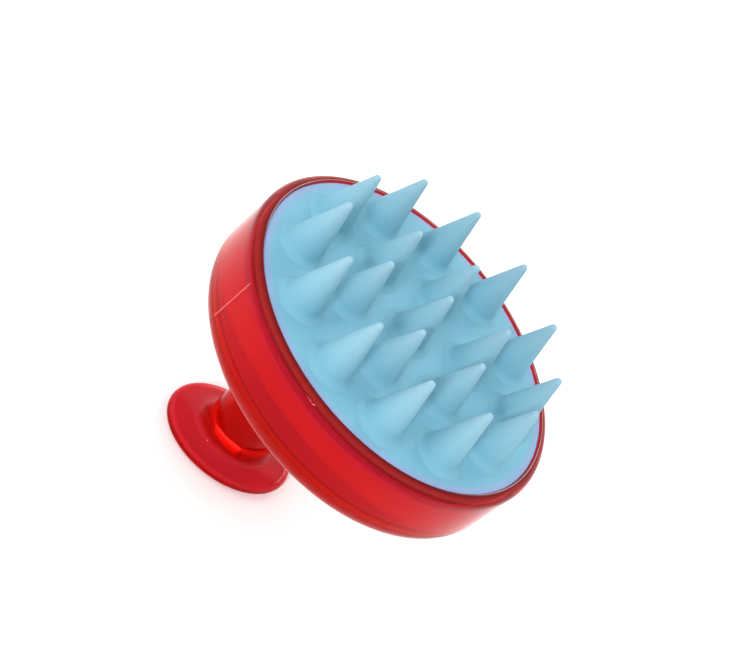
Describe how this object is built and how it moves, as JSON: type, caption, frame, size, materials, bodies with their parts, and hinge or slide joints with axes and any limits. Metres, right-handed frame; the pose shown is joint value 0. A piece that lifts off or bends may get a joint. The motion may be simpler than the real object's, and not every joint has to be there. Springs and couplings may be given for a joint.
{
  "type": "scalp massager brush",
  "caption": "Hand scalp massager: a round translucent cup head with an oval-ended handle and a soft silicone pad of flexing spikes.",
  "frame": {"origin": "in the plane of the handle's flat end face, on the axis of the round head", "axes": "+Z from the handle's end towards the spikes, along the head's axis; the handle stands off the axis towards -X, and its oval end is long along X"},
  "size_m": [0.08, 0.08, 0.0672],
  "materials": {
    "red_plastic": "gloss",
    "plate_plastic": "gloss",
    "pad_silicone": "satin",
    "spike_silicone": "satin"
  },
  "bodies": {
    "base": {"head_cup": "red_plastic", "handle": "red_plastic", "backing_plate": "plate_plastic", "silicone_pad": "pad_silicone"},
    "spike_outer_01_body": {"spike_outer_01": "spike_silicone"},
    "spike_outer_02_body": {"spike_outer_02": "spike_silicone"},
    "spike_outer_03_body": {"spike_outer_03": "spike_silicone"},
    "spike_outer_04_body": {"spike_outer_04": "spike_silicone"},
    "spike_outer_05_body": {"spike_outer_05": "spike_silicone"},
    "spike_outer_06_body": {"spike_outer_06": "spike_silicone"},
    "spike_outer_07_body": {"spike_outer_07": "spike_silicone"},
    "spike_outer_08_body": {"spike_outer_08": "spike_silicone"},
    "spike_outer_09_body": {"spike_outer_09": "spike_silicone"},
    "spike_outer_10_body": {"spike_outer_10": "spike_silicone"},
    "spike_outer_11_body": {"spike_outer_11": "spike_silicone"},
    "spike_outer_12_body": {"spike_outer_12": "spike_silicone"},
    "spike_inner_01_body": {"spike_inner_01": "spike_silicone"},
    "spike_inner_02_body": {"spike_inner_02": "spike_silicone"},
    "spike_inner_03_body": {"spike_inner_03": "spike_silicone"},
    "spike_inner_04_body": {"spike_inner_04": "spike_silicone"},
    "spike_inner_05_body": {"spike_inner_05": "spike_silicone"},
    "spike_inner_06_body": {"spike_inner_06": "spike_silicone"},
    "spike_centre_body": {"spike_centre": "spike_silicone"}
  },
  "joints": [
    {"name": "flex_outer_01", "type": "hinge", "parent": "base", "child": "spike_outer_01_body", "pos_m": [0.02796, 0.00749, 0.0527], "axis": [-0.2588, 0.9659, 0], "range_deg": [-20, 20], "stiffness_Nm_per_rad": 0.03},
    {"name": "flex_outer_02", "type": "hinge", "parent": "base", "child": "spike_outer_02_body", "pos_m": [0.02047, 0.02047, 0.0527], "axis": [-0.7071, 0.7071, 0], "range_deg": [-20, 20], "stiffness_Nm_per_rad": 0.03},
    {"name": "flex_outer_03", "type": "hinge", "parent": "base", "child": "spike_outer_03_body", "pos_m": [0.00749, 0.02796, 0.0527], "axis": [-0.9659, 0.2588, 0], "range_deg": [-20, 20], "stiffness_Nm_per_rad": 0.03},
    {"name": "flex_outer_04", "type": "hinge", "parent": "base", "child": "spike_outer_04_body", "pos_m": [-0.00749, 0.02796, 0.0527], "axis": [-0.9659, -0.2588, 0], "range_deg": [-20, 20], "stiffness_Nm_per_rad": 0.03},
    {"name": "flex_outer_05", "type": "hinge", "parent": "base", "child": "spike_outer_05_body", "pos_m": [-0.02047, 0.02047, 0.0527], "axis": [-0.7071, -0.7071, 0], "range_deg": [-20, 20], "stiffness_Nm_per_rad": 0.03},
    {"name": "flex_outer_06", "type": "hinge", "parent": "base", "child": "spike_outer_06_body", "pos_m": [-0.02796, 0.00749, 0.0527], "axis": [-0.2588, -0.9659, 0], "range_deg": [-20, 20], "stiffness_Nm_per_rad": 0.03},
    {"name": "flex_outer_07", "type": "hinge", "parent": "base", "child": "spike_outer_07_body", "pos_m": [-0.02796, -0.00749, 0.0527], "axis": [0.2588, -0.9659, 0], "range_deg": [-20, 20], "stiffness_Nm_per_rad": 0.03},
    {"name": "flex_outer_08", "type": "hinge", "parent": "base", "child": "spike_outer_08_body", "pos_m": [-0.02047, -0.02047, 0.0527], "axis": [0.7071, -0.7071, 0], "range_deg": [-20, 20], "stiffness_Nm_per_rad": 0.03},
    {"name": "flex_outer_09", "type": "hinge", "parent": "base", "child": "spike_outer_09_body", "pos_m": [-0.00749, -0.02796, 0.0527], "axis": [0.9659, -0.2588, 0], "range_deg": [-20, 20], "stiffness_Nm_per_rad": 0.03},
    {"name": "flex_outer_10", "type": "hinge", "parent": "base", "child": "spike_outer_10_body", "pos_m": [0.00749, -0.02796, 0.0527], "axis": [0.9659, 0.2588, 0], "range_deg": [-20, 20], "stiffness_Nm_per_rad": 0.03},
    {"name": "flex_outer_11", "type": "hinge", "parent": "base", "child": "spike_outer_11_body", "pos_m": [0.02047, -0.02047, 0.0527], "axis": [0.7071, 0.7071, 0], "range_deg": [-20, 20], "stiffness_Nm_per_rad": 0.03},
    {"name": "flex_outer_12", "type": "hinge", "parent": "base", "child": "spike_outer_12_body", "pos_m": [0.02796, -0.00749, 0.0527], "axis": [0.2588, 0.9659, 0], "range_deg": [-20, 20], "stiffness_Nm_per_rad": 0.03},
    {"name": "flex_inner_01", "type": "hinge", "parent": "base", "child": "spike_inner_01_body", "pos_m": [0.01584, 0, 0.0527], "axis": [0, 1, 0], "range_deg": [-20, 20], "stiffness_Nm_per_rad": 0.03},
    {"name": "flex_inner_02", "type": "hinge", "parent": "base", "child": "spike_inner_02_body", "pos_m": [0.00792, 0.01372, 0.0527], "axis": [-0.866, 0.5, 0], "range_deg": [-20, 20], "stiffness_Nm_per_rad": 0.03},
    {"name": "flex_inner_03", "type": "hinge", "parent": "base", "child": "spike_inner_03_body", "pos_m": [-0.00792, 0.01372, 0.0527], "axis": [-0.866, -0.5, 0], "range_deg": [-20, 20], "stiffness_Nm_per_rad": 0.03},
    {"name": "flex_inner_04", "type": "hinge", "parent": "base", "child": "spike_inner_04_body", "pos_m": [-0.01584, 0, 0.0527], "axis": [0, -1, 0], "range_deg": [-20, 20], "stiffness_Nm_per_rad": 0.03},
    {"name": "flex_inner_05", "type": "hinge", "parent": "base", "child": "spike_inner_05_body", "pos_m": [-0.00792, -0.01372, 0.0527], "axis": [0.866, -0.5, 0], "range_deg": [-20, 20], "stiffness_Nm_per_rad": 0.03},
    {"name": "flex_inner_06", "type": "hinge", "parent": "base", "child": "spike_inner_06_body", "pos_m": [0.00792, -0.01372, 0.0527], "axis": [0.866, 0.5, 0], "range_deg": [-20, 20], "stiffness_Nm_per_rad": 0.03},
    {"name": "flex_centre", "type": "hinge", "parent": "base", "child": "spike_centre_body", "pos_m": [0, 0, 0.0527], "axis": [0, 1, 0], "range_deg": [-20, 20], "stiffness_Nm_per_rad": 0.03}
  ]
}
